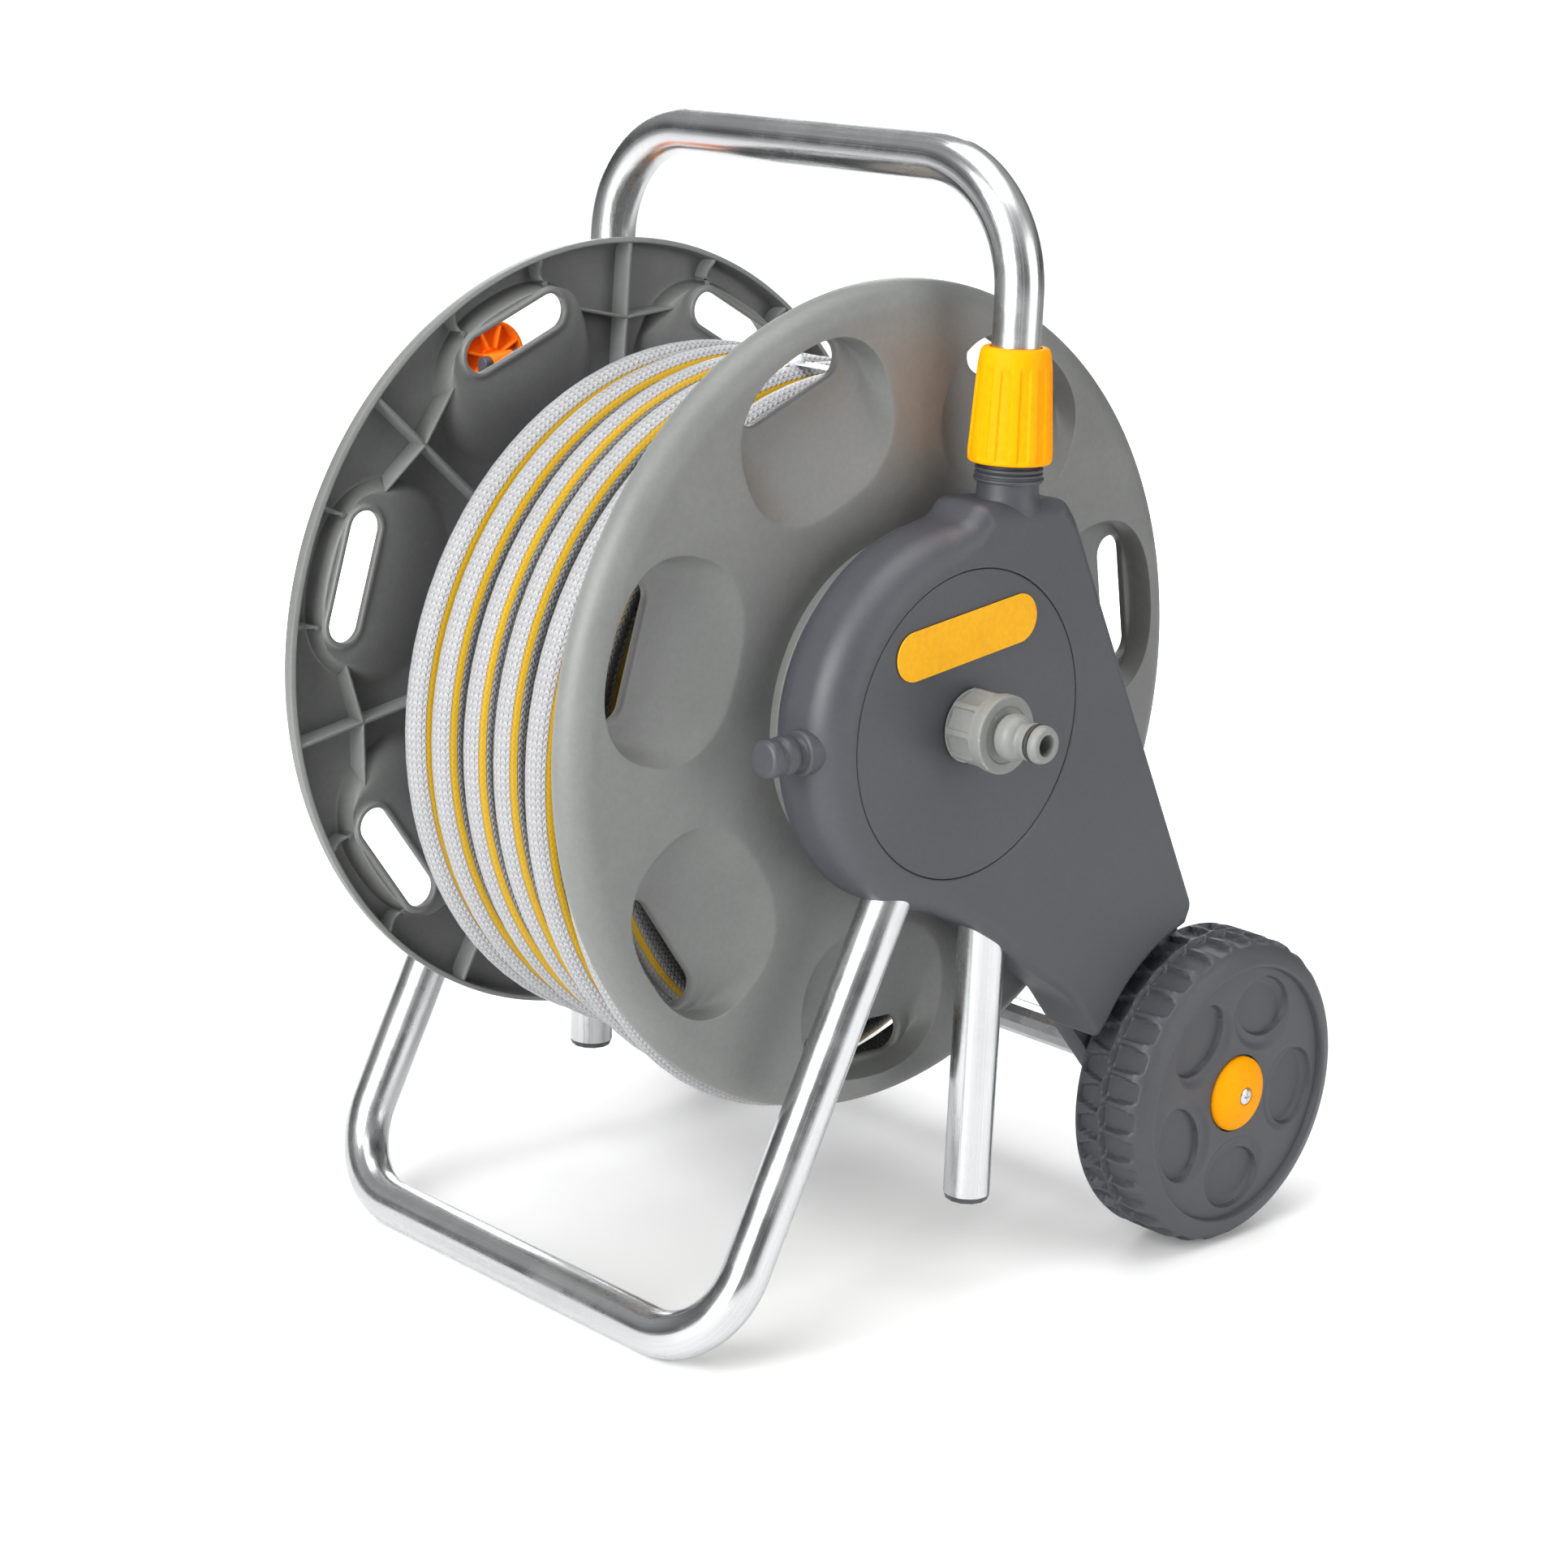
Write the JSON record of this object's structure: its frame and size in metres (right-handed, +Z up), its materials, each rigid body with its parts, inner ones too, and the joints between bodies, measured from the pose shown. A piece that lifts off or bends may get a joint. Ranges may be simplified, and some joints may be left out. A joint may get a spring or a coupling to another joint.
{
  "type": "garden hose reel cart",
  "caption": "Two-wheeled garden hose cart with a crank-turned drum, a wound hose, a telescopic U handle and a tubular foot loop.",
  "frame": {"origin": "on the floor, under the middle of the cart's bounding box", "axes": "+Z up, +Y along the drum axis from the inlet side to the crank side, +X towards the wheels"},
  "size_m": [0.4536, 0.396, 0.539],
  "materials": {
    "drum_grey": "moulded mid-grey polypropylene with a fine grain",
    "panel_slate": "moulded dark slate polypropylene with a fine grain",
    "zinc_tube": "bright zinc-plated steel tube",
    "yellow_plastic": "smooth yellow moulding",
    "orange_plastic": "smooth orange moulding",
    "connector_grey": "light grey glass-filled moulding",
    "seal_rubber": "black rubber seal",
    "zinc_screw": "zinc-plated screw",
    "bearing_white": "off-white acetal",
    "hose_pvc": "knitted light grey PVC with a yellow stripe"
  },
  "bodies": {
    "frame": {"side_panel_near": "panel_slate", "side_panel_far": "panel_slate", "panel_back_near": "panel_slate", "panel_back_far": "panel_slate", "face_disc_near": "panel_slate", "face_disc_far": "panel_slate", "parking_peg": "panel_slate", "neck_thread_near": "panel_slate", "neck_thread_far": "panel_slate", "badge_plate": "yellow_plastic", "inlet_nut": "connector_grey", "inlet_nipple": "connector_grey", "axle_plug_near": "connector_grey", "axle_plug_far": "connector_grey", "inlet_seal": "seal_rubber", "drum_bush_near": "bearing_white", "drum_bush_far": "bearing_white", "collet_near": "bearing_white", "collet_far": "bearing_white", "panel_screw_near_1": "zinc_screw", "panel_screw_near_2": "zinc_screw", "panel_screw_near_3": "zinc_screw", "panel_screw_far_1": "zinc_screw", "panel_screw_far_2": "zinc_screw", "panel_screw_far_3": "zinc_screw", "foot_loop": "zinc_tube", "wheel_axle": "zinc_tube"},
    "handle": {"handle_tube": "zinc_tube", "handle_plug_near": "panel_slate", "handle_plug_far": "panel_slate"},
    "collar_near": {"collar_near": "yellow_plastic"},
    "collar_far": {"collar_far": "yellow_plastic"},
    "drum": {"flange_near": "drum_grey", "flange_far": "drum_grey", "drum_core": "drum_grey", "water_spindle": "connector_grey", "water_elbow": "connector_grey", "hose_tail": "connector_grey", "crank_shaft": "connector_grey", "hose_coil": "hose_pvc", "crank_arm": "panel_slate", "crank_screw": "zinc_screw"},
    "knob_base": {"knob_base": "orange_plastic", "knob_pin": "zinc_screw"},
    "knob": {"crank_knob": "orange_plastic"},
    "wheel_near": {"wheel_near": "panel_slate", "hub_cap_near": "yellow_plastic", "wheel_screw_near": "zinc_screw"},
    "wheel_far": {"wheel_far": "panel_slate", "hub_cap_far": "yellow_plastic", "wheel_screw_far": "zinc_screw"}
  },
  "joints": [
    {"name": "drum_spin", "type": "hinge", "parent": "frame", "child": "drum", "pos_m": [-0.03575, 0, 0.2855], "axis": [0, 1, 0], "continuous": true},
    {"name": "knob_fold", "type": "hinge", "parent": "drum", "child": "knob_base", "pos_m": [-0.05329, 0.161, 0.41027], "axis": [0.9903, 0, 0.1392], "range_deg": [0, 180]},
    {"name": "knob_spin", "type": "hinge", "parent": "knob_base", "child": "knob", "pos_m": [-0.05329, 0.161, 0.41027], "axis": [0, 1, 0], "continuous": true},
    {"name": "handle_slide", "type": "slide", "parent": "frame", "child": "handle", "axis": [0, 0, 1], "range_m": [0, 0.235]},
    {"name": "collar_near_twist", "type": "hinge", "parent": "frame", "child": "collar_near", "pos_m": [-0.00305, -0.1365, 0.3985], "axis": [0, 0, 1], "range_deg": [0, 90]},
    {"name": "collar_far_twist", "type": "hinge", "parent": "frame", "child": "collar_far", "pos_m": [-0.00305, 0.1365, 0.3985], "axis": [0, 0, 1], "range_deg": [0, 90]},
    {"name": "wheel_near_spin", "type": "hinge", "parent": "frame", "child": "wheel_near", "pos_m": [0.14875, -0.15, 0.078], "axis": [0, 1, 0], "continuous": true},
    {"name": "wheel_far_spin", "type": "hinge", "parent": "frame", "child": "wheel_far", "pos_m": [0.14875, 0.15, 0.078], "axis": [0, 1, 0], "continuous": true}
  ]
}
